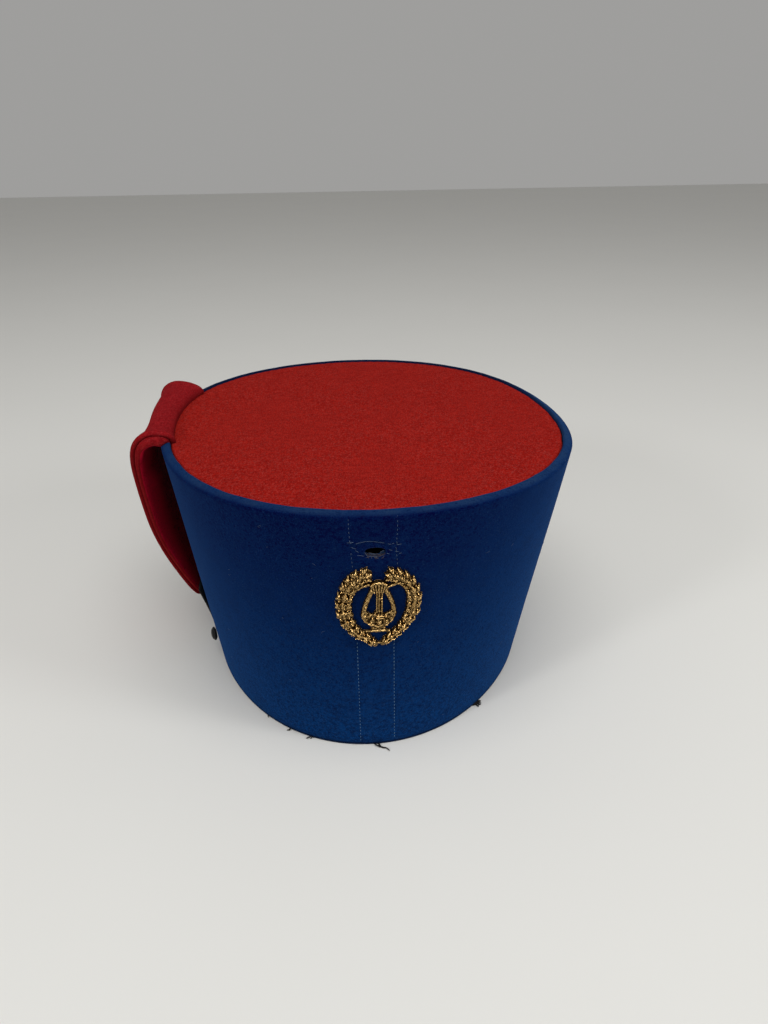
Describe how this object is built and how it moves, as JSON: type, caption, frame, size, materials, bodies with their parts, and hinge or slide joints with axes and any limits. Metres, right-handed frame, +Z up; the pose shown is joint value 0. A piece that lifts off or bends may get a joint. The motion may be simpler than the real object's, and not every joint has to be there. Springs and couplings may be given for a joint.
{
  "type": "kepi",
  "caption": "Stiff flared felt kepi without a peak: blue oval wall, flat red top, red bag folded over the left rim, plume slot and a gilt wreath-and-lyre badge in front.",
  "frame": {"origin": "centre of the bottom rim, in the plane of the rim", "axes": "+Z up, the front of the cap with the badge towards -Y, +X to the right as seen from the front, so the bag hangs on the -X side"},
  "size_m": [0.2216, 0.2368, 0.1345],
  "materials": {
    "blue_felt": "napped royal-blue wool felt, a little worn along the shoulder",
    "red_felt": "napped red wool felt",
    "black_tape": "woven black tape",
    "black_gloss": "polished black button",
    "gilt": "gilt casting, bright on the ridges and dark in the hollows"
  },
  "bodies": {
    "root": {"crown_wall": "blue_felt", "crown_top": "red_felt", "side_bag": "red_felt", "bag_tab": "black_tape", "side_button": "black_gloss", "badge": "gilt"}
  },
  "joints": []
}
